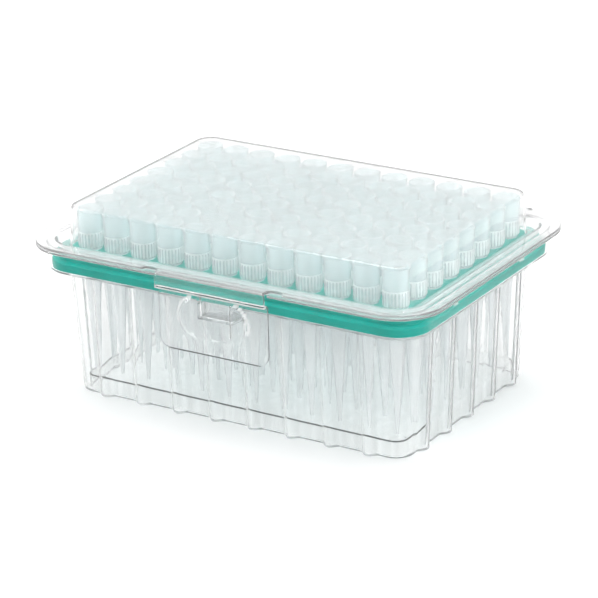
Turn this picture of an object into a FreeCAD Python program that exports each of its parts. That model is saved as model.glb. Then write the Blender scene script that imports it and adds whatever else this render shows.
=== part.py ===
import FreeCAD, Part
import math
import os
import Sketcher

# A clear hinged box that holds a moulded deck with a grid of pipette tips.
#
# The box is one thin formed sheet: a fluted tray, a lid that folds over it at the rear and a latch
# tab that folds down at the front. The deck rests on a ledge inside the tray, and each tip hangs in
# its own hole of the deck by the shoulder under its cup.
#
# Frame: millimetres, +Z up, origin on the table under the middle of the box. The latch is at -Y and
# the hinge at +Y. Outlines in plan are set out from the field, the rectangle through the centres of
# the outermost tips, by a margin that is the same on all four sides.

SIZES = (
    ("tip_columns", 12, "tips along X"),
    ("tip_rows", 8, "tips along Y"),
    ("tip_pitch", 9.0, "spacing of the tips, both ways"),
    ("tip_sides", 5, "flat sides that stand for the round of a tip and of its hole"),
    ("tip_rim_radius", 4.3, "tip cup at its open rim, to the corners between its sides"),
    ("tip_shoulder_radius", 3.8, "tip cup where it stands on the deck"),
    ("tip_body_radius", 3.2, "tip just under the deck"),
    ("tip_end_radius", 0.6, "tip at its fine end"),
    ("tip_rim_wall", 0.55, "wall of the cup at its rim"),
    ("tip_end_wall", 0.25, "wall at the fine end"),
    ("tip_cup_length", 11.4, "cup, from the deck to its rim"),
    ("tip_body_length", 37.0, "tip below the top of the deck"),
    ("tip_end_gap", 1.3, "from the fine ends to the tray's floor"),
    ("hole_clearance", 0.15, "between a tip and its hole, on the radius"),
    ("deck_depth", 4.7, "deck, from its seat to its top"),
    ("deck_plate", 1.4, "thickness of the deck's top"),
    ("deck_wall", 1.3, "thickness of the deck's sides"),
    ("deck_step", 2.0, "from the deck's top down to its shoulder"),
    ("deck_shoulder", 1.7, "width of the shoulder round the deck"),
    ("deck_clearance", 0.2, "between the deck and the collar round it"),
    ("sheet", 0.6, "thickness of the formed sheet"),
    ("body_gap", 0.3, "clearance between closed pieces that move apart"),
    ("floor_height", 4.7, "top of the tray's floor above the table"),
    ("foot_margin", 2.2, "recess under the floor, outside the field"),
    ("wall_margin", 4.5, "tray wall at the table, outside the field"),
    ("wall_draft", 1.7, "how much further out the wall is at the ledge"),
    ("wall_corner", 5.5, "corner radius of the tray wall"),
    ("flute_sides", 6, "sides of a flute's section, of which half stand out of the wall"),
    ("flute_radius", 2.5, "half the width of a flute, to the corners between its sides"),
    ("long_flutes", 8, "flutes on each long side"),
    ("long_flute_pitch", 12.35, "their spacing"),
    ("short_flutes", 5, "flutes on each short side"),
    ("short_flute_pitch", 12.9, "their spacing"),
    ("collar_margin", 11.6, "collar at the ledge, outside the field"),
    ("collar_draft", 0.3, "how much further out the collar is at the flange"),
    ("collar_corner", 9.9, "corner radius of the collar"),
    ("rim_above_deck", 2.4, "tray flange's top above the deck's top"),
    ("flange_margin", 15.2, "both flanges, outside the field"),
    ("flange_corner", 13.6, "corner radius of both flanges"),
    ("nub_length", 3.0, "retaining nub, along the collar"),
    ("nub_reach", 0.7, "retaining nub, out of the collar wall"),
    ("nub_height", 1.3, "retaining nub, up the collar wall"),
    ("nub_crest_length", 1.0, "its crest, along the collar"),
    ("nub_crest_height", 0.35, "its crest, up the collar wall"),
    ("nub_from_middle_x", 48.0, "nubs on the long sides, from the middle"),
    ("nub_from_middle_y", 19.0, "nubs on the short sides, from the middle"),
    ("head_room", 0.9, "from the tips' rims to the inside of the lid"),
    ("lid_margin", 5.2, "lid at its top, outside the field"),
    ("lid_draft", 0.65, "how much further out the lid's wall is at its foot"),
    ("lid_corner", 5.0, "corner radius of the lid's wall"),
    ("lid_edge_radius", 1.5, "rounding of the lid's top edge"),
    ("lid_inner_chamfer", 0.5, "slope inside that edge, which keeps the sheet's thickness"),
    ("trough_gap", 0.4, "between the deck and the trough round the lid"),
    ("trough_margin", 9.1, "trough's outer wall at its foot, outside the field"),
    ("trough_draft", 0.6, "how much further out that wall is at the flange"),
    ("trough_corner", 8.3, "corner radius of the trough"),
    ("relief_radius", 2.5, "notches in the lid's flange beside the latch tab"),
    ("tab_half_width", 17.6, "half the width of the latch tab"),
    ("tab_end_clearance", 0.4, "between the tab's ends and the cut in the tray's flange"),
    ("tab_hood_height", 4.8, "hood of the tab that wraps the flanges"),
    ("tab_length", 22.5, "tab, from the top of the lid's flange to its free edge"),
    ("tab_margin", 13.6, "inner face of the tab's flap, outside the field"),
    ("tab_corner", 3.5, "corner radius at the tab's free edge"),
    ("press_half_width", 12.0, "half the width of the raised press on the tab"),
    ("press_half_height", 7.0, "half its height"),
    ("press_rise", 1.2, "how far it stands out"),
    ("press_slope", 2.3, "width of its sloping edge"),
    ("press_drop", 12.0, "its middle below the top of the lid's flange"),
    ("catch_half_width", 5.8, "half the width of the catch block on the tray"),
    ("catch_height", 7.6, "height of the catch block"),
    ("catch_above_ledge", 3.4, "top of the catch block above the ledge"),
    ("hinge_half_length", 50.0, "half the length of the rear fold"),
)

doc = FreeCAD.newDocument("TipBox")


def make_sheet():
    """The driving sizes, one named cell each."""
    sheet = doc.addObject("Spreadsheet::Sheet", "Sizes")
    for row, (alias, value, meaning) in enumerate(SIZES, start=1):
        sheet.set(f"A{row}", meaning)
        sheet.set(f"B{row}", str(value))
        sheet.setAlias(f"B{row}", alias)
    doc.recompute()
    return sheet


sizes = make_sheet()

# Places worked out from the sizes, as expressions.
FIELD_X = "(Sizes.tip_columns - 1) * Sizes.tip_pitch / 2"
FIELD_Y = "(Sizes.tip_rows - 1) * Sizes.tip_pitch / 2"
TIP_END = "Sizes.floor_height + Sizes.tip_end_gap"
DECK_TOP = f"{TIP_END} + Sizes.tip_body_length"
DECK_SEAT = f"{DECK_TOP} - Sizes.deck_depth"
DECK_STEP = f"{DECK_TOP} - Sizes.deck_step"
LEDGE = f"{DECK_SEAT} - Sizes.sheet"
TIP_RIM = f"{DECK_TOP} + Sizes.tip_cup_length"
TRAY_FLANGE_TOP = f"{DECK_TOP} + Sizes.rim_above_deck"
TRAY_FLANGE_FOOT = f"{TRAY_FLANGE_TOP} - Sizes.sheet"
LID_FLANGE_FOOT = f"{TRAY_FLANGE_TOP} + Sizes.body_gap"
LID_FLANGE_TOP = f"{LID_FLANGE_FOOT} + Sizes.sheet"
LID_TOP = f"{TIP_RIM} + Sizes.head_room + Sizes.sheet"
TROUGH_FOOT = f"{DECK_TOP} + Sizes.trough_gap"
FLANGE_EDGE_Y = f"{FIELD_Y} + Sizes.flange_margin"
FLAP_INNER_Y = f"{FIELD_Y} + Sizes.tab_margin"
FLAP_OUTER_Y = f"{FLAP_INNER_Y} + Sizes.sheet"
HOOD_INNER_Y = f"{FLANGE_EDGE_Y} + Sizes.body_gap"
HOOD_OUTER_Y = f"{HOOD_INNER_Y} + Sizes.sheet"
HOOD_FOOT = f"{LID_FLANGE_TOP} - Sizes.tab_hood_height"
TAB_FOOT = f"{LID_FLANGE_TOP} - Sizes.tab_length"
PRESS_MIDDLE = f"{LID_FLANGE_TOP} - Sizes.press_drop"
HINGE_Y = f"{FLANGE_EDGE_Y} + Sizes.body_gap / 2"
HINGE_Z = f"{TRAY_FLANGE_TOP} + Sizes.body_gap / 2"
CATCH_TOP = f"{LEDGE} + Sizes.catch_above_ledge"


# Building blocks

# How a sketch numbers the two ends of a line, and the flat and round stretches of an outline.
START, END = 1, 2
FLATS = (0, 2, 4, 6)
ARCS = (1, 3, 5, 7)
FRONT, RIGHT, BACK, LEFT = FLATS
CORNER_SIGNS = ((1, -1), (1, 1), (-1, 1), (-1, -1))
AXES = -1
SAME_PLACE = 1e-6

# Turns in degrees.
QUARTER_TURN, HALF_TURN = 90, 180


def bind(item, expressions):
    """Tie properties of an object to the sheet."""
    for name, expression in expressions.items():
        item.setExpression(name, expression)
    return item


def outline(name, half_x, half_y, radius, level, x="0", y="0", upright=False):
    """A sketched rectangle with round corners, level in plan or upright and facing along Y."""
    sketch = doc.addObject("Sketcher::SketchObject", name)
    width = float(sizes.evalExpression(half_x))
    depth = float(sizes.evalExpression(half_y))
    corner = float(sizes.evalExpression(radius))
    flat_x = width - corner
    flat_y = depth - corner
    point = FreeCAD.Vector
    up = point(0, 0, 1)
    quarter = math.pi / 2
    centres = [point(x_sign * flat_x, y_sign * flat_y) for x_sign, y_sign in CORNER_SIGNS]
    sides = (
        (point(-flat_x, -depth), point(flat_x, -depth)),
        (point(width, -flat_y), point(width, flat_y)),
        (point(flat_x, depth), point(-flat_x, depth)),
        (point(-width, flat_y), point(-width, -flat_y)),
    )
    for turn, (centre, side) in enumerate(zip(centres, sides)):
        start = (turn - 1) * quarter
        sketch.addGeometry(Part.LineSegment(*side), False)
        circle = Part.Circle(centre, up, corner)
        sketch.addGeometry(Part.ArcOfCircle(circle, start, start + quarter), False)
    for flat, arc, next_flat in zip(FLATS, ARCS, (RIGHT, BACK, LEFT, FRONT)):
        sketch.addConstraint(Sketcher.Constraint("Tangent", flat, END, arc, START))
        sketch.addConstraint(Sketcher.Constraint("Tangent", arc, END, next_flat, START))
    for flat in (FRONT, BACK):
        sketch.addConstraint(Sketcher.Constraint("Horizontal", flat))
    for flat in (RIGHT, LEFT):
        sketch.addConstraint(Sketcher.Constraint("Vertical", flat))
    first_arc, *other_arcs = ARCS
    for arc in other_arcs:
        sketch.addConstraint(Sketcher.Constraint("Equal", first_arc, arc))
    sketch.addConstraint(Sketcher.Constraint("Symmetric", FRONT, START, BACK, START, AXES, START))
    driving = (
        ("half_x", Sketcher.Constraint("DistanceX", AXES, START, RIGHT, START, width), half_x),
        ("half_y", Sketcher.Constraint("DistanceY", AXES, START, BACK, START, depth), half_y),
        ("radius", Sketcher.Constraint("Radius", first_arc, corner), radius),
    )
    for label, constraint, expression in driving:
        index = sketch.addConstraint(constraint)
        sketch.renameConstraint(index, label)
        sketch.setExpression(f"Constraints.{label}", expression)
    if upright:
        sketch.Placement.Rotation = FreeCAD.Rotation(point(1, 0, 0), QUARTER_TURN)
    places = {"x": x, "y": y, "z": level}
    return bind(sketch, {f"Placement.Base.{axis}": place for axis, place in places.items()})


def polygon(name, sides, radius, level, x="0", y="0", turn=0):
    """A level outline with equal flat sides; radius reaches the corners between them."""
    item = doc.addObject("Part::RegularPolygon", name)
    item.Placement.Rotation = FreeCAD.Rotation(FreeCAD.Vector(0, 0, 1), turn)
    places = {"Placement.Base.x": x, "Placement.Base.y": y, "Placement.Base.z": level}
    return bind(item, {"Polygon": sides, "Circumradius": radius, **places})


def loft(name, sections):
    """A solid with straight sides through two closed outlines."""
    item = doc.addObject("Part::Loft", name)
    item.Sections = sections
    item.Solid = True
    item.Ruled = True
    item.Linearize = True
    return item


def block(name, low, high, upright=False):
    """A block with round corners; low and high are the sizes and places of its two ends."""
    ends = [outline(f"{name}_low", *low, upright=upright), outline(f"{name}_high", *high, upright=upright)]
    return loft(name, ends)


def around(margin, radius, level):
    """Sizes of an outline that runs round the field of tips at a margin."""
    return (f"{FIELD_X} + {margin}", f"{FIELD_Y} + {margin}", radius, level)


def box(name, half_x, y_range, z_range):
    """A plain block, centred on X, between two places along Y and two along Z."""
    item = doc.addObject("Part::Box", name)
    return bind(
        item,
        {
            "Length": f"2 * ({half_x})",
            "Width": f"({y_range[1]}) - ({y_range[0]})",
            "Height": f"({z_range[1]}) - ({z_range[0]})",
            "Placement.Base.x": f"-({half_x})",
            "Placement.Base.y": y_range[0],
            "Placement.Base.z": z_range[0],
        },
    )


def fuse(name, pieces):
    item = doc.addObject("Part::MultiFuse", name)
    item.Shapes = pieces
    return item


def cut(name, base, tool):
    item = doc.addObject("Part::Cut", name)
    item.Base = base
    item.Tool = tool
    return item


def group(name, pieces):
    item = doc.addObject("Part::Compound", name)
    item.Links = pieces
    return item


def copy_at(name, piece, x="0", y="0", turn=0):
    """One more of a piece, turned about Z and then moved."""
    item = group(name, [piece])
    item.Placement.Rotation = FreeCAD.Rotation(FreeCAD.Vector(0, 0, 1), turn)
    return bind(item, {"Placement.Base.x": x, "Placement.Base.y": y})


def spread(number, count, pitch):
    """Place of one of a row of pieces spaced evenly about the middle, as an expression."""
    return f"({number} - ({count} - 1) / 2) * {pitch}"


def row_along_x(name, piece, count, pitch):
    """Copies of a piece spread evenly along X; count and pitch are aliases of the sheet."""
    return [
        copy_at(f"{name}_{number + 1:02d}", piece, x=spread(number, f"Sizes.{count}", f"Sizes.{pitch}"))
        for number in range(int(sizes.get(count)))
    ]


def row_along_y(name, piece, count, pitch):
    """Copies of a piece spread evenly along Y; count and pitch are aliases of the sheet."""
    return [
        copy_at(f"{name}_{number + 1:02d}", piece, y=spread(number, f"Sizes.{count}", f"Sizes.{pitch}"))
        for number in range(int(sizes.get(count)))
    ]


def grid(name, piece):
    """A piece repeated in every row of one column, and that column in every column."""
    column = group(f"{name}_rows", row_along_y(f"{name}_row", piece, "tip_rows", "tip_pitch"))
    return row_along_x(f"{name}_column", column, "tip_columns", "tip_pitch")


def round_top_edges(name, base, level, radius):
    """Rounds the edges of a block's top face; level and radius are expressions."""
    doc.recompute()
    height = float(sizes.evalExpression(level))
    rounding = float(sizes.evalExpression(radius))
    item = doc.addObject("Part::Fillet", name)
    item.Base = base
    item.Edges = [
        (number, rounding, rounding)
        for number, edge in enumerate(base.Shape.Edges, start=1)
        if all(abs(vertex.Z - height) < SAME_PLACE for vertex in edge.Vertexes)
    ]
    return item


def fold(name, angle, start, end, radius, y, z, half_length):
    """Part of a round bar along X; start and end are the directions that its section opens between."""
    item = doc.addObject("Part::Cylinder", name)
    item.Angle = angle
    along = start.cross(end)
    item.Placement.Rotation = FreeCAD.Rotation(start, end, along, "ZXY")
    origin = f"-({half_length})" if along.x > 0 else half_length
    return bind(
        item,
        {
            "Radius": radius,
            "Height": f"2 * ({half_length})",
            "Placement.Base.x": origin,
            "Placement.Base.y": y,
            "Placement.Base.z": z,
        },
    )


# The tips and their deck


def taper(name, low_radius, low_level, high_radius, high_level):
    """A tapered length of tip, with a flat side facing the next column."""
    turn = HALF_TURN / sizes.tip_sides
    low = polygon(f"{name}_low", "Sizes.tip_sides", low_radius, low_level, turn=turn)
    high = polygon(f"{name}_high", "Sizes.tip_sides", high_radius, high_level, turn=turn)
    return loft(name, [low, high])


def make_tips():
    """One tip, then a column of them for each column of the deck."""
    cup = taper("tip_cup", "Sizes.tip_shoulder_radius", DECK_TOP, "Sizes.tip_rim_radius", TIP_RIM)
    body = taper("tip_body", "Sizes.tip_end_radius", TIP_END, "Sizes.tip_body_radius", DECK_TOP)
    bore_end = "Sizes.tip_end_radius - Sizes.tip_end_wall"
    bore_rim = "Sizes.tip_rim_radius - Sizes.tip_rim_wall"
    bore = taper("tip_bore", bore_end, TIP_END, bore_rim, TIP_RIM)
    tip = cut("tip", fuse("tip_outside", [cup, body]), bore)
    return grid("tip", tip)


def make_deck():
    """A stepped cap that stands on the ledge, with a hole for each tip."""
    outer = "Sizes.collar_margin - Sizes.sheet - Sizes.deck_clearance"
    outer_corner = "Sizes.collar_corner - Sizes.sheet - Sizes.deck_clearance"
    upper = f"{outer} - Sizes.deck_shoulder"
    upper_corner = f"{outer_corner} - Sizes.deck_shoulder"
    band = block("deck_band", around(outer, outer_corner, DECK_SEAT), around(outer, outer_corner, DECK_STEP))
    cap = block("deck_cap", around(upper, upper_corner, DECK_SEAT), around(upper, upper_corner, DECK_TOP))
    inner = f"{upper} - Sizes.deck_wall"
    inner_corner = f"{upper_corner} - Sizes.deck_wall"
    hollow_top = f"{DECK_TOP} - Sizes.deck_plate"
    hollow = block(
        "deck_hollow", around(inner, inner_corner, DECK_SEAT), around(inner, inner_corner, hollow_top)
    )
    hole_radius = "Sizes.tip_body_radius + Sizes.hole_clearance"
    hole = taper("deck_hole", hole_radius, DECK_SEAT, hole_radius, DECK_TOP)
    shell = cut("deck_shell", fuse("deck_outside", [band, cap]), hollow)
    return cut("tip_deck", shell, group("deck_holes", grid("deck_hole", hole)))


# The tray


def flute(name, radius, ends, turn=0):
    """One many-sided rod down a wall; ends hold the level and the place of its foot and of its top."""
    sections = [
        polygon(f"{name}_{end}", "Sizes.flute_sides", radius, *place, turn=turn)
        for end, place in zip(("foot", "top"), ends)
    ]
    return loft(name, sections)


def flutes(name, inset, foot, top):
    """Rows of flutes down the four walls, standing out of the wall from its foot to the ledge."""
    radius = f"Sizes.flute_radius - {inset}"
    low = "Sizes.wall_margin"
    high = f"{low} + Sizes.wall_draft"
    front_ends = [(foot, "0", f"-({FIELD_Y} + {low})"), (top, "0", f"-({FIELD_Y} + {high})")]
    right_ends = [(foot, f"{FIELD_X} + {low}", "0"), (top, f"{FIELD_X} + {high}", "0")]
    front_flute = flute(f"{name}_front_flute", radius, front_ends)
    right_flute = flute(f"{name}_right_flute", radius, right_ends, turn=QUARTER_TURN)
    front = row_along_x(front_flute.Name, front_flute, "long_flutes", "long_flute_pitch")
    right = row_along_y(right_flute.Name, right_flute, "short_flutes", "short_flute_pitch")
    back = copy_at(f"{name}_back_flutes", group(f"{name}_front_flutes", front), turn=HALF_TURN)
    left = copy_at(f"{name}_left_flutes", group(f"{name}_right_flutes", right), turn=HALF_TURN)
    return front + right + [back, left]


def tray_form(name, inset, collar_top):
    """The solid that one face of the sheet encloses: the outside with no inset, the inside with one."""
    foot = inset
    top = f"{LEDGE} + {inset}"
    wall_corner = f"Sizes.wall_corner - {inset}"
    wall = block(
        f"{name}_wall",
        around(f"Sizes.wall_margin - {inset}", wall_corner, foot),
        around(f"Sizes.wall_margin + Sizes.wall_draft - {inset}", wall_corner, top),
    )
    collar_corner = f"Sizes.collar_corner - {inset}"
    collar = block(
        f"{name}_collar",
        around(f"Sizes.collar_margin - {inset}", collar_corner, top),
        around(f"Sizes.collar_margin + Sizes.collar_draft - {inset}", collar_corner, collar_top),
    )
    catch_face = f"-({FLAP_INNER_Y} - Sizes.body_gap - {inset})"
    catch_foot = f"{CATCH_TOP} - Sizes.catch_height + {inset}"
    catch = box(
        f"{name}_catch",
        f"Sizes.catch_half_width - {inset}",
        (catch_face, f"-({FIELD_Y} + Sizes.wall_margin)"),
        (catch_foot, f"{CATCH_TOP} - {inset}"),
    )
    return fuse(name, [wall, collar, catch] + flutes(name, inset, foot, top))


def nubs():
    """Small wedges on the collar's inside that the deck snaps under."""
    reach = "Sizes.nub_reach"
    length = "Sizes.nub_length"
    crest = "Sizes.nub_crest_length"
    wedge = doc.addObject("Part::Wedge", "nub")
    bind(
        wedge,
        {
            "Xmin": f"-{length} / 2", "Xmax": f"{length} / 2",
            "Ymin": "0", "Ymax": f"{reach} + Sizes.sheet / 2",
            "Zmin": "0", "Zmax": "Sizes.nub_height",
            "X2min": f"-{crest} / 2", "X2max": f"{crest} / 2",
            "Z2min": "0", "Z2max": "Sizes.nub_crest_height",
            "Placement.Base.z": f"{DECK_STEP} + Sizes.body_gap",
        },
    )
    inside = "Sizes.collar_margin - Sizes.sheet / 2"
    long_y = f"-({FIELD_Y} + {inside})"
    short_x = f"{FIELD_X} + {inside}"
    front = [
        copy_at("nub_front_left", wedge, x="-Sizes.nub_from_middle_x", y=long_y),
        copy_at("nub_front_right", wedge, x="Sizes.nub_from_middle_x", y=long_y),
        copy_at("nub_right_front", wedge, x=short_x, y="-Sizes.nub_from_middle_y", turn=QUARTER_TURN),
        copy_at("nub_right_back", wedge, x=short_x, y="Sizes.nub_from_middle_y", turn=QUARTER_TURN),
    ]
    half = group("nubs_front_and_right", front)
    return [half, copy_at("nubs_back_and_left", half, turn=HALF_TURN)]


def make_tray():
    """A sheet of even thickness: wall with flutes, raised floor, ledge, collar and flange."""
    outside = tray_form("tray_outside", "0", TRAY_FLANGE_TOP)
    inside = tray_form("tray_inside", "Sizes.sheet", TRAY_FLANGE_TOP)
    flange_sizes = ("Sizes.flange_margin", "Sizes.flange_corner")
    flange = block(
        "tray_flange", around(*flange_sizes, TRAY_FLANGE_FOOT), around(*flange_sizes, TRAY_FLANGE_TOP)
    )
    tab_cut = box(
        "tray_tab_cut",
        "Sizes.tab_half_width + Sizes.tab_end_clearance",
        (f"-({HOOD_OUTER_Y})", f"-({FLAP_INNER_Y} - Sizes.body_gap)"),
        (TRAY_FLANGE_FOOT, TRAY_FLANGE_TOP),
    )
    recess_corner = "Sizes.wall_corner - Sizes.wall_margin + Sizes.foot_margin"
    under = block(
        "tray_recess",
        around("Sizes.foot_margin", recess_corner, "0"),
        around("Sizes.foot_margin", recess_corner, "Sizes.floor_height - Sizes.sheet"),
    )
    raised = block(
        "tray_raised_floor",
        around("Sizes.foot_margin + Sizes.sheet", f"{recess_corner} + Sizes.sheet", "0"),
        around("Sizes.foot_margin + Sizes.sheet", f"{recess_corner} + Sizes.sheet", "Sizes.floor_height"),
    )
    skin = fuse("tray_skin", [outside, cut("tray_cut_flange", flange, tab_cut)])
    hollow = cut("tray_hollow", inside, raised)
    open_skin = cut("tray_open_skin", cut("tray_recessed_skin", skin, under), hollow)
    return fuse("base_tray", [open_skin] + nubs())


# The lid


def make_lid_rim():
    """The lid's flange, with its lip and notches at the front, and the trough inside it."""
    trough_top = "Sizes.trough_margin + Sizes.trough_draft"
    plug = block(
        "lid_plug",
        around("Sizes.trough_margin", "Sizes.trough_corner", TROUGH_FOOT),
        around(trough_top, "Sizes.trough_corner", LID_FLANGE_TOP),
    )
    groove_corner = "Sizes.trough_corner - Sizes.sheet"
    groove = block(
        "lid_groove",
        around("Sizes.trough_margin - Sizes.sheet", groove_corner, f"{TROUGH_FOOT} + Sizes.sheet"),
        around(f"{trough_top} - Sizes.sheet", groove_corner, LID_FLANGE_TOP),
    )
    flange_sizes = ("Sizes.flange_margin", "Sizes.flange_corner")
    flange = block(
        "lid_flange", around(*flange_sizes, LID_FLANGE_FOOT), around(*flange_sizes, LID_FLANGE_TOP)
    )
    lip = box(
        "lid_front_lip",
        "Sizes.tab_half_width",
        (f"-({HOOD_INNER_Y})", f"-({FLAP_INNER_Y})"),
        (LID_FLANGE_FOOT, LID_FLANGE_TOP),
    )
    relief = doc.addObject("Part::Cylinder", "lid_relief")
    bind(
        relief,
        {
            "Radius": "Sizes.relief_radius",
            "Height": "Sizes.sheet",
            "Placement.Base.y": f"-({FLANGE_EDGE_Y})",
            "Placement.Base.z": LID_FLANGE_FOOT,
        },
    )
    relief_x = "Sizes.tab_half_width + Sizes.relief_radius"
    left_relief = copy_at("lid_relief_left", relief, x=f"-({relief_x})")
    right_relief = copy_at("lid_relief_right", relief, x=relief_x)
    lipped_flange = fuse("lid_lipped_flange", [flange, lip])
    reliefs = group("lid_reliefs", [left_relief, right_relief])
    notched_flange = cut("lid_notched_flange", lipped_flange, reliefs)
    return cut("lid_rim", fuse("lid_rim_solid", [plug, notched_flange]), groove)


def make_lid():
    """A dome over the tips inside a trough and a flange, all in the same sheet."""
    foot_margin = "Sizes.lid_margin + Sizes.lid_draft"
    dome = block(
        "lid_dome",
        around(foot_margin, "Sizes.lid_corner", TROUGH_FOOT),
        around("Sizes.lid_margin", "Sizes.lid_corner", LID_TOP),
    )
    rounded_dome = round_top_edges("lid_rounded_dome", dome, LID_TOP, "Sizes.lid_edge_radius")
    corner = "Sizes.lid_corner - Sizes.sheet"
    margin = "Sizes.lid_margin - Sizes.sheet"
    chamfer = "Sizes.lid_inner_chamfer"
    cavity_top = f"{LID_TOP} - Sizes.sheet"
    cavity_levels = (
        around(f"{foot_margin} - Sizes.sheet", corner, TROUGH_FOOT),
        around(margin, corner, f"{cavity_top} - {chamfer}"),
        around(f"{margin} - {chamfer}", f"{corner} - {chamfer}", cavity_top),
    )
    cavity_names = ("lid_cavity_foot", "lid_cavity_shoulder", "lid_cavity_top")
    cavity = loft("lid_cavity", [outline(name, *level) for name, level in zip(cavity_names, cavity_levels)])
    return cut("lid", fuse("lid_outside", [make_lid_rim(), rounded_dome]), cavity)


# The latch tab and the two folds


def press_form(name, inset):
    """The raised oval press on the tab, or its hollow."""
    half_x = f"Sizes.press_half_width - {inset}"
    half_z = f"Sizes.press_half_height - {inset}"
    corner = f"{half_z} - Sizes.sheet / 2"
    slope = "Sizes.press_slope"
    crest = f"-({FLAP_OUTER_Y} + Sizes.press_rise - {inset})"
    root = f"-({FLAP_INNER_Y})"
    return block(
        name,
        (half_x, half_z, corner, PRESS_MIDDLE, "0", root),
        (f"{half_x} - {slope}", f"{half_z} - {slope}", f"{corner} - {slope}", PRESS_MIDDLE, "0", crest),
        upright=True,
    )


def make_press():
    """The press and its hollow, both cut off round the window that the catch block stands in."""
    window_foot = f"{PRESS_MIDDLE} - Sizes.press_half_height + Sizes.press_slope"
    crest = f"-({FLAP_OUTER_Y} + Sizes.press_rise)"
    window = box(
        "tab_window", "Sizes.catch_half_width", (crest, f"-({FLAP_OUTER_Y})"), (window_foot, HOOD_FOOT)
    )
    window_wall = box(
        "tab_window_wall",
        "Sizes.catch_half_width + Sizes.sheet",
        (crest, f"-({FLAP_INNER_Y})"),
        (f"{window_foot} - Sizes.sheet", HOOD_FOOT),
    )
    press = cut("tab_press", press_form("tab_press_outside", "0"), window)
    hollow = cut("tab_press_hollow", press_form("tab_press_inside", "Sizes.sheet"), window_wall)
    return press, hollow


def make_latch_tab():
    """A hood that wraps the flanges, a flap below it and a raised press for the finger."""
    half_width = "Sizes.tab_half_width"
    hood_front_y = (f"-({HOOD_OUTER_Y})", f"-({HOOD_INNER_Y})")
    hood_step_y = (f"-({HOOD_OUTER_Y})", f"-({FLAP_INNER_Y})")
    flap_y = (f"-({FLAP_OUTER_Y})", f"-({FLAP_INNER_Y})")
    step_top = f"{HOOD_FOOT} + Sizes.sheet"
    hood_front = box("tab_hood_front", half_width, hood_front_y, (HOOD_FOOT, LID_FLANGE_FOOT))
    hood_step = box("tab_hood_step", half_width, hood_step_y, (HOOD_FOOT, step_top))
    flap = box("tab_flap", half_width, flap_y, (f"{TAB_FOOT} + Sizes.tab_corner", step_top))
    foot_height = "Sizes.tab_corner + Sizes.sheet"
    foot_sizes = (half_width, foot_height, "Sizes.tab_corner", f"{TAB_FOOT} + {foot_height}", "0")
    foot_outer, foot_inner = flap_y
    foot = block("tab_flap_foot", (*foot_sizes, foot_inner), (*foot_sizes, foot_outer), upright=True)
    press, hollow = make_press()
    return cut("latch_tab", fuse("tab_outside", [hood_front, hood_step, flap, foot, press]), hollow)


def make_hinge_web():
    """The rear fold: half a turn of sheet from the edge of the tray's flange towards the lid's."""
    down = FreeCAD.Vector(0, 0, -1)
    back = FreeCAD.Vector(0, 1, 0)
    place = (HINGE_Y, HINGE_Z, "Sizes.hinge_half_length")
    bend = fold("rear_fold_outside", HALF_TURN, down, back, "Sizes.body_gap / 2 + Sizes.sheet", *place)
    bore = fold("rear_fold_inside", HALF_TURN, down, back, "Sizes.body_gap / 2", *place)
    root = box(
        "rear_fold_root",
        "Sizes.hinge_half_length",
        (FLANGE_EDGE_Y, HINGE_Y),
        (TRAY_FLANGE_FOOT, TRAY_FLANGE_TOP),
    )
    return fuse("hinge_web", [cut("rear_fold", bend, bore), root])


def make_tab_web():
    """The front fold: a quarter turn of sheet from the lid's flange down into the tab's hood."""
    front = FreeCAD.Vector(0, -1, 0)
    up = FreeCAD.Vector(0, 0, 1)
    place = (f"-({HOOD_INNER_Y})", LID_FLANGE_FOOT, "Sizes.tab_half_width")
    return fold("tab_web", QUARTER_TURN, front, up, "Sizes.sheet", *place)


def make_nodes():
    """Every piece that goes into the library, by its name."""
    nodes = {
        "base_tray": make_tray(),
        "tip_deck": make_deck(),
        "lid": make_lid(),
        "latch_tab": make_latch_tab(),
        "hinge_web": make_hinge_web(),
        "tab_web": make_tab_web(),
    }
    for number, column in enumerate(make_tips(), start=1):
        nodes[f"tip_column_{number:02d}"] = column
    return nodes


def check_and_write(nodes):
    """Stop on any failed object, then write one file for each piece."""
    doc.recompute()
    for item in doc.Objects:
        if "Invalid" in item.State or "Error" in item.State:
            raise RuntimeError(f"{item.Name} failed: {item.State}")
    os.makedirs("parts", exist_ok=True)
    for label, item in nodes.items():
        item.Label = label
        shape = item.Shape
        if shape.isNull() or not shape.isValid():
            raise RuntimeError(f"{label} has no valid shape")
        print(label, len(shape.Solids), shape.BoundBox)
        shape.exportStep(f"parts/{label}.step")


check_and_write(make_nodes())
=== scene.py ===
import math
import bmesh
import bpy
import numpy as np
from mathutils import Matrix, Vector


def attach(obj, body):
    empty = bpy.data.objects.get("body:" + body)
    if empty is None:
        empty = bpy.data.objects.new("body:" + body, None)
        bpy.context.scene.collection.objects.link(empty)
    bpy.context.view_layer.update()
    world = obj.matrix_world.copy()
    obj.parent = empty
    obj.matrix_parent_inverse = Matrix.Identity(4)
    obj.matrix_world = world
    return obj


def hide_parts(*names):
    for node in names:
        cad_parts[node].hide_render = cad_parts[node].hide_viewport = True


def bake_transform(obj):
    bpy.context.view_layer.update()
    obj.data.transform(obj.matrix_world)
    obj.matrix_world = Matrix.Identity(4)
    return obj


# A clear hinged box of pipette tips: its looks, laid over the solid model. Sizes are in millimetres
# and repeat the solid model's own; meshes are turned into metres where they are made.

MM = 0.001

# The field of tips
PITCH = 9.0
COLUMNS = 12
ROWS = 8
FIELD_X = (COLUMNS - 1) * PITCH / 2
FIELD_Y = (ROWS - 1) * PITCH / 2

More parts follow.
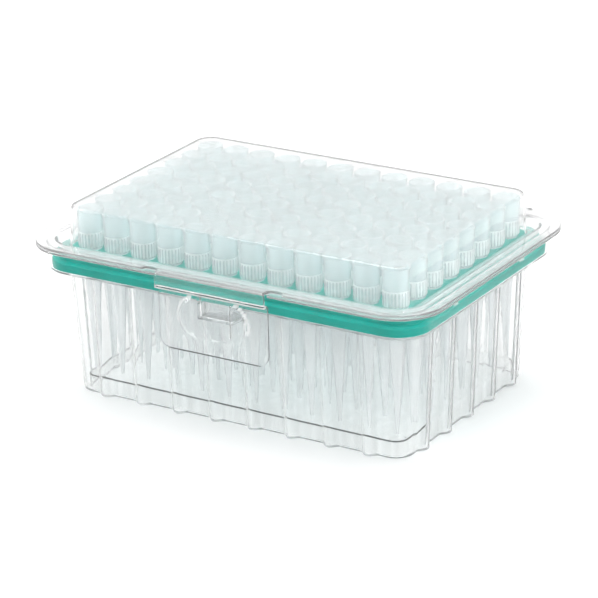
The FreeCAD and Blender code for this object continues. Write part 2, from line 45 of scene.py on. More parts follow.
# Levels above the table
FLOOR_TOP = 4.7
TIP_END = 6.0
LEDGE = 37.7
DECK_SEAT = 38.3
DECK_STEP = 41.0
DECK_PLATE = 41.6
DECK_TOP = 43.0
TROUGH_FOOT = 43.4
TRAY_TOP = 45.4
LID_FOOT = 45.7
LID_RIM = 46.3
TIP_RIM = 54.4
LID_TOP = 55.9

SHEET = 0.6
GAP = 0.3
FLANGE = 15.2
FLANGE_EDGE = FIELD_Y + FLANGE
FLAP_INNER = FIELD_Y + 13.6
FLAP_OUTER = FLAP_INNER + SHEET
HOOD_INNER = FLANGE_EDGE + GAP
HOOD_OUTER = HOOD_INNER + SHEET
HOOD_FOOT = 41.5
TAB_FOOT = 23.8
TAB_HALF = 17.6
TAB_CORNER = 3.5
TAB_CUT_HALF = 18.0
NOTCH_RADIUS = 2.5
NOTCH_X = TAB_HALF + NOTCH_RADIUS
HINGE_Y = FLANGE_EDGE + GAP / 2
HINGE_Z = TRAY_TOP + GAP / 2
HINGE_HALF = 50.0
CATCH_HALF = 5.8
CATCH_FOOT = 33.5
CATCH_TOP = 41.1
CATCH_STEP = 0.15

# Ridges down the wall: depth, half width, and the count and pitch of each side's row
FLUTE_DEPTH = 2.05
FLUTE_HALF = 2.7
FLUTE_ROUNDNESS = 1.4
LONG_FLUTES = (8, 12.35)
SHORT_FLUTES = (5, 12.9)

# Margins of the tray's outer face round the field of tips; the flutes end at the ledge's middle
RECESS = 2.2
WALL_FOOT = 4.5
WALL_HEAD = 6.2
LEDGE_MIDDLE = 8.9
COLLAR_FOOT = 11.6
COLLAR_HEAD = 11.9

# A normal points straight out of a side when its part along that axis is over STRAIGHT. A face
# belongs to a feature when it is no further than NEAR outside it. A feature that ends sharply has a
# point on each side of its end, CLOSE_PAIR from it.
STRAIGHT = 0.999
NEAR = 0.3
CLOSE_PAIR = 0.12

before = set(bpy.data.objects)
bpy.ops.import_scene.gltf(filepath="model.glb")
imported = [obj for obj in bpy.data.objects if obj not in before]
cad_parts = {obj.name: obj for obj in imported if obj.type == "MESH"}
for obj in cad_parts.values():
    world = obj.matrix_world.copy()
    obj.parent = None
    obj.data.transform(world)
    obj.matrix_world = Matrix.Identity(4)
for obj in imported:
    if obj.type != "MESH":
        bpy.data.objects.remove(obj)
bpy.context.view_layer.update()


# Outlines in plan


def side_samples(reach, step, features):
    """Places along a side, evenly spaced and with a close pair on each side of every sharp feature."""
    even = np.arange(-reach, reach + step / 2, step)
    close = [
        sign * place + nudge
        for place in features
        for sign in (-1, 1)
        for nudge in (-CLOSE_PAIR, CLOSE_PAIR)
    ]
    return np.unique(np.round(np.concatenate([even, close]), 3))


class Plan:
    """A rounded rectangle with the same number of points at any margin.

    A point lies at share * flat + fixed + normal * radius, where flat is half the straight length
    of the two sides.
    """

    REACH = (48.0, 30.0)
    JOINS = (0.25, 0.5, 0.75)

    def __init__(self, step=0.8, corner_steps=14, features=()):
        self.share = []
        self.fixed = []
        self.normal = []
        long_side = side_samples(self.REACH[0], step, features)
        short_side = side_samples(self.REACH[1], step, ())
        for turn, places in enumerate((long_side, short_side, long_side, short_side)):
            self.add_side(turn, places)
            self.add_corner(turn, corner_steps)
        self.share = np.array(self.share)
        self.fixed = np.array(self.fixed)
        self.normal = np.array(self.normal)
        self.count = len(self.share)

    def add_side(self, turn, places):
        angle = (turn - 1) * math.pi / 2
        normal = np.round([math.cos(angle), math.sin(angle)])
        along = np.round([-math.sin(angle), math.cos(angle)])
        reach = self.REACH[turn % 2]
        for join in reversed(self.JOINS):
            self.add(normal - along * join, -along * reach * (1 - join), normal)
        for place in places:
            self.add(normal, along * place, normal)
        for join in self.JOINS:
            self.add(normal + along * join, along * reach * (1 - join), normal)

    def add_corner(self, turn, steps):
        start = (turn - 1) * math.pi / 2
        middle = start + math.pi / 4
        corner = np.sign(np.round([math.cos(middle), math.sin(middle)], 3))
        for angle in np.linspace(start, start + math.pi / 2, steps + 1):
            self.add(corner, (0, 0), (math.cos(angle), math.sin(angle)))

    def add(self, share, fixed, normal):
        self.share.append(np.array(share, float))
        self.fixed.append(np.array(fixed, float))
        self.normal.append(np.array(normal, float))

    def ring(self, margin, corner, flute_share=0.0):
        """The outline at a margin round the field of tips, with a corner radius."""
        flat = np.array([FIELD_X, FIELD_Y]) + margin - corner
        middle = self.share * flat + self.fixed
        reach = corner + flute_share * flute_depth(middle, self.normal)
        return middle + self.normal * reach[:, None]


def ridges(place, count, pitch):
    """Height from 0 to 1 of a row of soft ridges at a place along it."""
    number = np.clip(np.round(place / pitch + (count - 1) / 2), 0, count - 1)
    off = (place - (number - (count - 1) / 2) * pitch) / FLUTE_HALF
    crown = np.cos(np.clip(off, -1, 1) * math.pi / 2) ** FLUTE_ROUNDNESS
    return np.where(np.abs(off) < 1, crown, 0.0)


def flute_depth(middle, normal):
    """How far each point of an outline stands out on a flute."""
    long_side = np.abs(normal[:, 1]) > STRAIGHT
    short_side = np.abs(normal[:, 0]) > STRAIGHT
    heights = np.where(long_side, ridges(middle[:, 0], *LONG_FLUTES), 0.0)
    heights = np.where(short_side, ridges(middle[:, 1], *SHORT_FLUTES), heights)
    return FLUTE_DEPTH * heights


# Sections of a sheet


SHORTEST_TRIM = 0.01
LONGEST_TRIM = 0.49
LEAST_TANGENT = 0.1


def rounded(path, bend_steps=5):
    """Rounds the bends of a path of (margin, level, bend radius, corner radius, flute share)."""
    path = [np.array(point, float) for point in path]
    smooth = [path[0]]
    for before, here, after in zip(path, path[1:], path[2:]):
        back = before - here
        ahead = after - here
        back_length = np.hypot(*back[:2])
        ahead_length = np.hypot(*ahead[:2])
        opening = math.acos(np.clip(np.dot(back[:2], ahead[:2]) / (back_length * ahead_length), -1, 1))
        wanted = here[2] / max(math.tan(opening / 2), LEAST_TANGENT)
        trim = min(wanted, back_length * LONGEST_TRIM, ahead_length * LONGEST_TRIM)
        if trim < SHORTEST_TRIM:
            smooth.append(here)
            continue
        first = here + back * (trim / back_length)
        last = here + ahead * (trim / ahead_length)
        for share in np.linspace(0, 1, bend_steps + 1):
            smooth.append((1 - share) ** 2 * first + 2 * share * (1 - share) * here + share**2 * last)
    smooth.append(path[-1])
    return smooth


def refined(path, step, levels=()):
    """Adds points where a path runs further than a step, and where it crosses given levels."""
    fine = [path[0]]
    for here, after in zip(path, path[1:]):
        length = np.hypot(*(after - here)[:2])
        shares = list(np.linspace(0, 1, max(1, math.ceil(length / step)) + 1)[1:])
        rise = after[1] - here[1]
        if abs(rise) > SHORTEST_TRIM:
            shares += [(level - here[1]) / rise for level in levels]
        fine += [here + (after - here) * share for share in sorted(set(shares)) if 0 < share <= 1]
    return fine


def make_object(name, vertices, faces, material):
    """A smooth mesh in metres from points in millimetres."""
    mesh = bpy.data.meshes.new(name)
    mesh.from_pydata((np.asarray(vertices) * MM).tolist(), [], faces)
    mesh.materials.append(material)
    editor = bmesh.new()
    editor.from_mesh(mesh)
    bmesh.ops.recalc_face_normals(editor, faces=editor.faces)
    editor.to_mesh(mesh)
    editor.free()
    mesh.polygons.foreach_set("use_smooth", [True] * len(mesh.polygons))
    mesh.update()
    piece = bpy.data.objects.new(name, mesh)
    bpy.context.scene.collection.objects.link(piece)
    return piece


def tube_faces(rings, around, first=0, closed=True):
    """Quads between rings of points that are listed one ring after another."""
    faces = []
    last = around if closed else around - 1
    for ring in range(rings - 1):
        low = first + ring * around
        for number in range(last):
            after = (number + 1) % around
            faces.append((low + number, low + after, low + around + after, low + around + number))
    return faces


def loop_faces(rings, around):
    """Quads between open rows of points, the last row joined to the first."""
    last = (rings - 1) * around
    closing = [(last + number, last + number + 1, number + 1, number) for number in range(around - 1)]
    return tube_faces(rings, around, closed=False) + closing


def paint(piece, materials, region):
    """Adds materials to a piece and picks one for each face by its middle, in millimetres."""
    for material in materials:
        piece.data.materials.append(material)
    for face in piece.data.polygons:
        face.material_index = region(face.center / MM)


def margin_of(place):
    """How far a place lies outside the field of tips."""
    return max(abs(place.x) - FIELD_X, abs(place.y) - FIELD_Y)


def shell(name, plan, path, shape, material):
    """A closed sheet swept round the field of tips, with a flat cap at each end of its path."""
    rings = []
    for margin, level, _, corner, flute_share in path:
        points = plan.ring(margin, corner, flute_share)
        points = np.column_stack([points, np.full(plan.count, level)])
        rings.append(shape(points, plan, margin))
    faces = tube_faces(len(rings), plan.count)
    last = (len(rings) - 1) * plan.count
    faces.append(tuple(reversed(range(plan.count))))
    faces.append(tuple(range(last, last + plan.count)))
    return make_object(name, np.concatenate(rings), faces, material)


def ease(value):
    """0 below 0 and 1 above 1, with a soft start and end."""
    value = np.clip(value, 0, 1)
    return value * value * (3 - 2 * value)


def step_up(distance, width):
    """A soft step from 0 to 1 of a given width, halfway up where the distance is 0."""
    return ease(distance / width + 0.5)


# Materials


class Shader:
    """A node material with one Principled shader and short calls for the nodes round it."""

    def __init__(self, name, **constants):
        self.material = bpy.data.materials.new(name)
        self.material.use_nodes = True
        self.tree = self.material.node_tree
        self.principled = self.tree.nodes["Principled BSDF"]
        for socket, value in constants.items():
            self.principled.inputs[socket.replace("_", " ")].default_value = value

    def node(self, kind, values=None, **settings):
        made = self.tree.nodes.new(kind)
        for setting, value in settings.items():
            setattr(made, setting, value)
        for socket, value in (values or {}).items():
            made.inputs[socket].default_value = value
        return made

    def link(self, source, target):
        self.tree.links.new(source, target)

    def noise(self, scale, detail=1.0, drawn=1.0):
        """Noise in the piece's own space, in waves of about 1 / scale metres, drawn out upwards."""
        place = self.node("ShaderNodeTexCoord")
        mapping = self.node("ShaderNodeMapping", {"Scale": (1, 1, 1 / drawn)})
        noise = self.node("ShaderNodeTexNoise", {"Scale": scale, "Detail": detail})
        self.link(place.outputs["Object"], mapping.inputs["Vector"])
        self.link(mapping.outputs["Vector"], noise.inputs["Vector"])
        return noise.outputs["Fac"]

    def ramp(self, source, low, high, start=0.3, end=0.7):
        """Turns noise into a colour or a grey between two values."""
        ramp = self.node("ShaderNodeValToRGB")
        ramp.color_ramp.elements[0].position = start
        ramp.color_ramp.elements[1].position = end
        for element, value in zip(ramp.color_ramp.elements, (low, high)):
            element.color = (*value, 1) if isinstance(value, tuple) else (value, value, value, 1)
        self.link(source, ramp.inputs["Fac"])
        return ramp.outputs["Color"]

    def bump(self, heights, distance):
        """Adds bump from one or more sources, one over another."""
        normal = None
        for height in heights:
            bump = self.node("ShaderNodeBump", {"Distance": distance})
            self.link(height, bump.inputs["Height"])
            if normal is not None:
                self.link(normal, bump.inputs["Normal"])
            normal = bump.outputs["Normal"]
        self.link(normal, self.principled.inputs["Normal"])

    def let_lamps_through(self, tint):
        """Lets direct light pass, as thin clear walls do, where it would stop at a refracting one."""
        path = self.node("ShaderNodeLightPath")
        clear = self.node("ShaderNodeBsdfTransparent", {"Color": (*tint, 1)})
        mix = self.node("ShaderNodeMixShader")
        self.link(path.outputs["Is Shadow Ray"], mix.inputs["Fac"])
        self.link(self.principled.outputs["BSDF"], mix.inputs[1])
        self.link(clear.outputs["BSDF"], mix.inputs[2])
        self.link(mix.outputs["Shader"], self.tree.nodes["Material Output"].inputs["Surface"])

    def colour(self, source):
        self.link(source, self.principled.inputs["Base Color"])

    def roughness(self, source):
        self.link(source, self.principled.inputs["Roughness"])


CLEAR = 0.985
HAZE = 0.06
WAVE_HEIGHT = 0.00004
GRAIN_HEIGHT = 0.00002
FINE_WAVES = 420
STREAK_LENGTH = 30


# Copies of this sheet with a darker tint paint shade, and copies with more milk paint highlights, on some
# regions of the box.
def clear_sheet(name, ior, milk, tint=CLEAR, haze=HAZE, sheen=0.0, streaked=False):
    """Formed clear plastic: faint waves from forming, a little haze and a little milkiness.

    A streaked sheet is darker in long random streaks that run down it.
    """
    shader = Shader(name, Transmission_Weight=1 - milk, IOR=ior, Sheen_Weight=sheen, Sheen_Roughness=0.35)
    if streaked:
        streaks = shader.noise(FINE_WAVES, drawn=STREAK_LENGTH)
        shader.colour(shader.ramp(streaks, 0.92, tint, start=0.42, end=0.62))
    else:
        shader.colour(shader.ramp(shader.noise(25), tint * CLEAR, tint))
    shader.roughness(shader.ramp(shader.noise(180), haze / 4, haze))
    shader.bump([shader.noise(70, detail=0.0), shader.noise(FINE_WAVES)], WAVE_HEIGHT)
    shader.let_lamps_through((0.98, 0.985, 0.985))
    return shader.material


def deck_plastic():
    """Moulded teal plastic with a fine satin grain."""
    shader = Shader("deck_plastic", IOR=1.49, Specular_IOR_Level=0.2)
    shader.colour(shader.ramp(shader.noise(90), (0.0, 0.27, 0.22), (0.0, 0.32, 0.265)))
    shader.roughness(shader.ramp(shader.noise(1500), 0.35, 0.5))
    shader.bump([shader.noise(2600)], GRAIN_HEIGHT)
    shader.let_lamps_through((0.7, 0.75, 0.75))
    return shader.material


def tip_plastic(name, clear, low, high):
    """Natural moulded plastic, milky where it is thick; the milkier rib flanks are a painted highlight."""
    shader = Shader(name, Transmission_Weight=clear, IOR=1.42)
    shader.colour(shader.ramp(shader.noise(60), low, high))
    shader.roughness(shader.ramp(shader.noise(500), 0.06, 0.14))
    shader.bump([shader.noise(900)], GRAIN_HEIGHT)
    shader.let_lamps_through((0.95, 0.97, 0.97))
    return shader.material


# The tray


TRAY_CORNERS = (
    (RECESS, 3.2),
    (WALL_FOOT, 5.5),
    (WALL_HEAD, 5.5),
    (COLLAR_FOOT, 9.9),
    (COLLAR_HEAD, 9.9),
    (FLANGE, 13.6),
)


def tray_corner(margin, inset=0.0):
    """Corner radius of the tray's outer face at a margin, or of its inner face."""
    margins, radii = zip(*TRAY_CORNERS)
    return float(np.interp(margin + inset, margins, radii)) - inset


def tray_path():
    """Section of the tray from the middle of its underside, round the flange, to its inner floor."""
    outer = [
        (1.0, FLOOR_TOP - SHEET, 0, 0),
        (RECESS, FLOOR_TOP - SHEET, 0.4, 0),
        (RECESS, 0.0, 0.7, 0),
        (WALL_FOOT, 0.0, 0.9, 1),
        (WALL_HEAD, LEDGE, 0.8, 1),
        (LEDGE_MIDDLE, LEDGE, 0, 0),
        (COLLAR_FOOT, LEDGE, 1.0, 0),
        (COLLAR_HEAD, TRAY_TOP - SHEET, 0.4, 0),
        (FLANGE, TRAY_TOP - SHEET, 0.25, 0),
    ]
    inner = [
        (FLANGE, TRAY_TOP, 0.25, 0),
        (COLLAR_HEAD - SHEET, TRAY_TOP, 0.9, 0),
        (COLLAR_FOOT - SHEET, DECK_SEAT, 0.5, 0),
        (LEDGE_MIDDLE - SHEET, DECK_SEAT, 0, 0),
        (WALL_HEAD - SHEET, DECK_SEAT, 0.4, 1),
        (WALL_FOOT - SHEET, SHEET, 0.4, 1),
        (RECESS + SHEET, SHEET, 0.3, 0),
        (RECESS + SHEET, FLOOR_TOP, 0.8, 0),
        (1.6, FLOOR_TOP, 0, 0),
    ]
    path = [(m, z, bend, tray_corner(m), flute) for m, z, bend, flute in outer]
    path += [(m, z, bend, tray_corner(m, SHEET if m < FLANGE else 0), flute) for m, z, bend, flute in inner]
    catch = (CATCH_FOOT, CATCH_FOOT + SHEET, CATCH_TOP - SHEET, CATCH_TOP)
    levels = [level + nudge for level in catch for nudge in (-CATCH_STEP, CATCH_STEP)]
    return refined(rounded(path), 1.6, levels)


FLANGE_FOOT = TRAY_TOP - SHEET - 0.1
CATCH_ROOT = 7.0
CATCH_SIDE_BEND = 0.5
CATCH_EDGE_BEND = 0.4

NUB_X = 48.0
NUB_Y = 19.0
NUB_FOOT = 41.3
NUB_HEIGHT = 1.3
NUB_HALF = 1.7
NUB_REACH = 0.65
NUB_CREST = 0.2


def nub_depth(points, plan):
    """How far the collar is pressed in at each retaining nub."""
    long_side = np.abs(plan.normal[:, 1]) > STRAIGHT
    along = np.where(long_side, np.abs(np.abs(points[:, 0]) - NUB_X), np.abs(np.abs(points[:, 1]) - NUB_Y))
    above = (points[:, 2] - NUB_FOOT) / NUB_HEIGHT
    falling = 1 - ease((above - NUB_CREST) / (1 - NUB_CREST))
    lean = np.where(above < NUB_CREST, step_up(above, NUB_CREST), falling)
    return NUB_REACH * ease(1.2 * (1 - along / NUB_HALF)) * lean * (above > -NUB_CREST) * (above < 1)


def shape_tray(points, plan, margin):
    """Presses the nubs in, pushes the catch block out and cuts the flange back behind the tab."""
    if margin > LEDGE_MIDDLE:
        points[:, :2] -= plan.normal * nub_depth(points, plan)[:, None]
    front = plan.normal[:, 1] < -STRAIGHT
    inset = 0.0 if is_outer_face(margin, points[0, 2]) else SHEET
    level = points[:, 2]
    across = step_up(CATCH_HALF - inset - np.abs(points[:, 0]), CATCH_SIDE_BEND)
    above_foot = step_up(level - CATCH_FOOT - inset, CATCH_EDGE_BEND)
    below_top = step_up(CATCH_TOP - inset - level, CATCH_EDGE_BEND)
    amount = across * above_foot * below_top * front
    face = -(FLAP_INNER - GAP - inset)
    points[:, 1] = np.where(amount > 0, points[:, 1] + (face - points[:, 1]) * amount, points[:, 1])
    behind_tab = front & (np.abs(points[:, 0]) < TAB_CUT_HALF) & (level > FLANGE_FOOT)
    points[:, 1] = np.where(behind_tab, np.maximum(points[:, 1], -(FLAP_INNER - GAP)), points[:, 1])
    return points


def is_outer_face(margin, level):
    """Whether a point of the tray's section near the catch lies on the outer face of the sheet."""
    if level < LEDGE + SHEET / 2:
        wall = WALL_FOOT + (WALL_HEAD - WALL_FOOT) * level / LEDGE
        return margin > wall - SHEET / 2
    return margin > COLLAR_FOOT - SHEET / 2


# The crease round the raised floor takes a dark line of painted shade, drawn at the front and at the right
# end near it
CREASE_MARGINS = (0.5, 3.0)
CREASE_LEVELS = (FLOOR_TOP - 0.4, FLOOR_TOP - 0.02)
CREASE_BACK_END = -18.0
COLLAR, WALL, CATCH, CREASE_SHADE, NUB_HIGHLIGHT, RIM = range(6)


def in_catch(place):
    stands_out = place.y < -(FIELD_Y + CATCH_ROOT)
    return stands_out and abs(place.x) < CATCH_HALF + NEAR and place.z < CATCH_TOP + NEAR


# Where the dark line of painted shade runs, along the crease of the raised floor.
def in_crease_shade(place):
    at_front = place.y < -FIELD_Y - 1 or (place.x > FIELD_X and place.y < CREASE_BACK_END)
    low, high = CREASE_LEVELS
    return at_front and CREASE_MARGINS[0] < margin_of(place) < CREASE_MARGINS[1] and low < place.z < high


# Where the nubs at the ends take a painted highlight.
def in_end_nub_highlight(place):
    beside = abs(place.x) > FIELD_X and abs(abs(place.y) - NUB_Y) < 0.8 * NUB_HALF
    level = NUB_FOOT - 0.1 < place.z < NUB_FOOT + NUB_HEIGHT
    return beside and level and margin_of(place) > LEDGE_MIDDLE


def tray_region(place):
    """Which of the tray's materials a face takes: the rim a darker tint of painted shade, the crease a dark
    line of painted shade and the end nubs a painted highlight.
    """
    if in_catch(place):
        return CATCH
    if place.z > FLANGE_FOOT:
        return RIM
    if in_crease_shade(place):
        return CREASE_SHADE
    if in_end_nub_highlight(place):
        return NUB_HIGHLIGHT
    return WALL if place.z < LEDGE else COLLAR


def make_tray(collar, wall, catch, crease, nub, flange):
    plan = Plan(features=(CATCH_HALF, CATCH_HALF - SHEET, TAB_CUT_HALF))
    tray = shell("tray_skin", plan, tray_path(), shape_tray, collar)
    # The crease material is painted shade, the nub material a painted highlight and the flange material a
    # darker tint of painted shade.
    paint(tray, (wall, catch, crease, nub, flange), tray_region)
    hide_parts("base_tray")
    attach(tray, "base")


# The lid


# Margins of the lid's outer face round the field of tips, and one inside its two notches
LID_WALL = 5.2
TROUGH_EDGE = 9.1
INSIDE_NOTCHES = 12.0
LIP = 0.5


def lid_path():
    """Section of the lid from the middle of its inside, round the flange, to the middle of its top."""
    points = [
        (3.0, LID_TOP - SHEET, 0, 2.8),
        (LID_WALL - SHEET, LID_TOP - SHEET, 0.9, 4.4),
        (5.25, TROUGH_FOOT, 0.6, 4.4),
        (TROUGH_EDGE, TROUGH_FOOT, 0.8, 8.3),
        (TROUGH_EDGE + SHEET, LID_FOOT, 0.4, 8.3),
        (FLANGE, LID_FOOT, 0.25, 13.6),
        (FLANGE, LID_RIM, 0.25, 13.6),
        (TROUGH_EDGE, LID_RIM, 0.9, 7.7),
        (TROUGH_EDGE - SHEET, TROUGH_FOOT + SHEET, 0.5, 7.7),
        (LID_WALL + SHEET, TROUGH_FOOT + SHEET, 0.5, 5.0),
        (LID_WALL, LID_TOP, 1.5, 5.0),
        (3.0, LID_TOP, 0, 2.8),
    ]
    path = [(m, z, bend, corner, 0) for m, z, bend, corner in points]
    return refined(rounded(path, 6), 2.0)


def shape_lid(points, plan, margin):
    """Cuts the two notches in the flange and brings its lip forward to the fold between them."""
    if margin < INSIDE_NOTCHES:
        return points
    front = plan.normal[:, 1] < -STRAIGHT
    off = np.abs(points[:, 0]) - NOTCH_X
    notch = np.sqrt(np.clip(NOTCH_RADIUS**2 - off**2, 0, None))
    limit = -(FLANGE_EDGE - notch)
    points[:, 1] = np.where(front, np.maximum(points[:, 1], limit), points[:, 1])
    if margin > FLANGE - LIP:
        lip = front & (np.abs(points[:, 0]) < TAB_HALF)
        points[:, 1] = np.where(lip, points[:, 1] - GAP, points[:, 1])
    return points


LID_SIDE, LID_FLANGE, LID_FACE, LID_TROUGH = range(4)


def lid_region(place):
    """Which of the lid's materials a face takes: the flange a darker tint of painted shade, the trough
    painted shade and light, the top a painted reflection.
    """
    margin = margin_of(place)
    if margin > LID_WALL + 0.1 and place.z < TROUGH_FOOT + SHEET + 0.2:
        return LID_TROUGH
    if margin > LID_WALL + 0.8:
        return LID_FLANGE
    return LID_FACE if place.z > LID_TOP - SHEET - 0.1 and margin < LID_WALL - 0.8 else LID_SIDE


def make_lid(side, rim, top, trough):
    notch = [NOTCH_X + off for off in (-2.2, -1.2, 1.2, 2.2, NOTCH_RADIUS)]
    plan = Plan(features=(TAB_HALF, *notch))
    lid = shell("lid_skin", plan, lid_path(), shape_lid, side)
    # The rim material is a darker tint of painted shade, the top material a painted reflection, and the
    # trough material painted shade and light.
    paint(lid, (rim, top, trough), lid_region)
    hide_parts("lid")
    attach(lid, "lid")


# The latch tab and the folds


PRESS_MIDDLE = 34.3
PRESS_HALF_X = 12.0
PRESS_HALF_Z = 7.0
PRESS_SLOPE = 2.3
PRESS_RISE = 1.2
WINDOW_FOOT = 29.6
WINDOW_EDGE = 0.7
# Height of the dark line of painted shade along the tab's free edge.
EDGE_LINE = 0.16
SHELF_START = FLAP_OUTER + NEAR
SHELF_EDGE = 0.05
TAB_COLUMNS = 72


def press_rise(x, z):
    """How far the raised press stands out of the flap."""
    along = np.maximum(np.abs(x) - (PRESS_HALF_X - PRESS_HALF_Z), 0)
    inside = PRESS_HALF_Z - np.hypot(along, z - PRESS_MIDDLE)
    window = step_up(CATCH_HALF - np.abs(x), WINDOW_EDGE) * step_up(z - WINDOW_FOOT, WINDOW_EDGE)
    return PRESS_RISE * ease(inside / PRESS_SLOPE) * (1 - window)


def tab_section():
    """Outer face of the tab from its top to its free edge, as places of (Y, Z)."""
    path = [
        (HOOD_OUTER, LID_FOOT, 0, 0, 0),
        (HOOD_OUTER, HOOD_FOOT, 0.5, 0, 0),
        (FLAP_OUTER, HOOD_FOOT, 0.3, 0, 0),
        (FLAP_OUTER, TAB_FOOT, 0, 0, 0),
    ]
    return [point[:2] for point in refined(rounded(path), 0.7, (TAB_FOOT + EDGE_LINE,))]


FLAP, BEND_HIGHLIGHT, EDGE = range(3)


def tab_region(place):
    """Which of the tab's materials a face takes: the bends of the hood's shelf and the press's sides take a
    painted highlight.
    """
    # The free edge takes a dark line of painted shade.
    if place.z < TAB_FOOT + EDGE_LINE:
        return EDGE
    shelf = -place.y > SHELF_START and abs(place.z - HOOD_FOOT) < SHEET + 0.2
    rise = float(press_rise(place.x, place.z)) / PRESS_RISE
    brow = 0.05 < rise < 0.35 and abs(place.x) > CATCH_HALF + 1 and place.z > PRESS_MIDDLE - PRESS_SLOPE
    return BEND_HIGHLIGHT if shelf or brow else FLAP


def tab_rows(section):
    """Points across the tab's outer face at each place of its section, and across its inner face."""
    shares = np.linspace(-1, 1, TAB_COLUMNS + 1)
    outer, inner = [], []
    for y, z in section:
        down = max(TAB_FOOT + TAB_CORNER - z, 0)
        half = TAB_HALF - TAB_CORNER + math.sqrt(max(TAB_CORNER**2 - down**2, 0))
        x = shares * half
        rise = press_rise(x, z) if z < HOOD_FOOT else 0 * x
        on_shelf = y > SHELF_START and z < HOOD_FOOT + SHEET
        upright = y < SHELF_START or z >= HOOD_FOOT + SHELF_EDGE
        back_z = z + SHEET if on_shelf else z
        back_y = min(y - SHEET, HOOD_INNER) if upright else max(y - SHEET, FLAP_INNER)
        outer.append(np.column_stack([x, -(y + rise), np.full(len(x), z)]))
        inner.append(np.column_stack([x, -(back_y + rise), np.full(len(x), back_z)]))
    return outer, inner


def end_faces(rings, around):
    """Quads across the thickness of a bent strip at both its ends."""
    faces = []
    for column in (0, around - 1):
        end = [ring * around + column for ring in range(rings)]
        for ring in range(rings // 2 - 1):
            quad = (end[ring], end[ring + 1], end[-2 - ring], end[-1 - ring])
            faces.append(quad if column else tuple(reversed(quad)))
    return faces


def make_tab(flap, bend, crease):
    """A strip across the tab, bent along its section and pressed out in the middle."""
    outer, inner = tab_rows(tab_section())
    rings = outer + inner[::-1]
    around = TAB_COLUMNS + 1
    faces = loop_faces(len(rings), around) + end_faces(len(rings), around)
    tab = make_object("tab_skin", np.concatenate(rings), faces, flap)
    # The bend material is a painted highlight, and the crease material a dark line of painted shade along
    # the free edge.
    paint(tab, (bend, crease), tab_region)
    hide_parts("latch_tab")
    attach(tab, "latch_tab")


FOLD_STEPS = 12
FOLD_COLUMNS = 40
LEAST_RADIUS = 0.05


def fold_strip(name, centre, start, turn, inner_radius, outer_radius, half_length, material):
    """A bent strip of sheet along X about a centre of (Y, Z); angles are in degrees from +Y."""
    angles = np.radians(np.linspace(start, start + turn, FOLD_STEPS + 1))
    xs = np.linspace(-half_length, half_length, FOLD_COLUMNS + 1)
    loop = [(outer_radius, angle) for angle in angles] + [(inner_radius, angle) for angle in angles[::-1]]
    rings = []
    for radius, angle in loop:
        y = centre[0] + radius * math.cos(angle)
        z = centre[1] + radius * math.sin(angle)
        rings.append(np.column_stack([xs, np.full(len(xs), y), np.full(len(xs), z)]))
    around = len(xs)
    faces = loop_faces(len(rings), around)
    faces.append(tuple(ring * around for ring in range(len(rings))))
    faces.append(tuple(ring * around + around - 1 for ring in reversed(range(len(rings)))))
    return make_object(name, np.concatenate(rings), faces, material)


def make_folds(material):
    hinge = fold_strip(
        "rear_fold", (HINGE_Y, HINGE_Z), -90, 180, GAP / 2, GAP / 2 + SHEET, HINGE_HALF, material
    )
    front = fold_strip(
        "front_fold", (-HOOD_INNER, LID_FOOT), 90, 90, LEAST_RADIUS, SHEET, TAB_HALF, material
    )
    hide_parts("hinge_web")
    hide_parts("tab_web")
    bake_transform(hinge)
    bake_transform(front)


# The deck and the tips


DECK_STEP_LENGTH = 3.0
HOLE_RADIUS = 3.1
HOLE_SIDES = 32
SHARP_ANGLE = math.radians(40)
SHARP_TIP_ANGLE = math.radians(35)


def deck_path():
    """Section of the deck from the middle of its underside to the middle of its top."""
    points = [
        (6.0, DECK_PLATE, 0, 4.3),
        (7.8, DECK_PLATE, 0.5, 6.1),
        (7.8, DECK_SEAT, 0.2, 6.1),
        (10.8, DECK_SEAT, 0.4, 9.1),
        (10.8, DECK_STEP, 0.5, 9.1),
        (9.1, DECK_STEP, 0.4, 7.4),
        (9.1, DECK_TOP, 0.5, 7.4),
        (7.0, DECK_TOP, 0, 5.3),
    ]
    path = [(m, z, bend, corner, 0) for m, z, bend, corner in points]
    return refined(rounded(path, 4), DECK_STEP_LENGTH)


def row_places(count):
    """Places of a centred row of tips."""
    return [(number - (count - 1) / 2) * PITCH for number in range(count)]


def lathe_points(profile, around, x=0.0, y=0.0, ribs=None):
    """Points of a turned shape: rings of (radius, level) about a place, ribbed between two levels."""
    angles = np.linspace(0, 2 * math.pi, around, endpoint=False)
    rings = []
    for radius, level in profile:
        reach = np.full(around, radius)
        if ribs and ribs["foot"] < level < ribs["top"] and radius > ribs["from_radius"]:
            reach = reach + ribs["height"] * (np.arange(around) % 2)
        ring = [x + reach * np.cos(angles), y + reach * np.sin(angles), np.full(around, level)]
        rings.append(np.column_stack(ring))
    return rings


def make_drill(material):
    """A cylinder through the deck at every tip."""
    profile = [(HOLE_RADIUS, DECK_SEAT - 1), (HOLE_RADIUS, DECK_TOP + 1)]
    places = [(x, y) for x in row_places(COLUMNS) for y in row_places(ROWS)]
    vertices, faces = [], []
    for number, (x, y) in enumerate(places):
        first = number * 2 * HOLE_SIDES
        vertices += lathe_points(profile, HOLE_SIDES, x, y)
        faces += tube_faces(2, HOLE_SIDES, first)
        faces.append(tuple(reversed(range(first, first + HOLE_SIDES))))
        faces.append(tuple(range(first + HOLE_SIDES, first + 2 * HOLE_SIDES)))
    return make_object("deck_drill", np.concatenate(vertices), faces, material)


def make_deck(material):
    plan = Plan(step=DECK_STEP_LENGTH)
    deck = shell("deck_shell", plan, deck_path(), lambda points, plan, margin: points, material)
    drill = make_drill(material)
    holes = deck.modifiers.new("holes", "BOOLEAN")
    holes.operation = "DIFFERENCE"
    holes.object = drill
    holes.solver = "EXACT"
    drilled = bpy.data.meshes.new_from_object(deck.evaluated_get(bpy.context.evaluated_depsgraph_get()))
    deck.modifiers.clear()
    deck.data = drilled
    bpy.data.objects.remove(drill)
    deck.data.set_sharp_from_angle(angle=SHARP_ANGLE)
    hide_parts("tip_deck")
    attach(deck, "base")


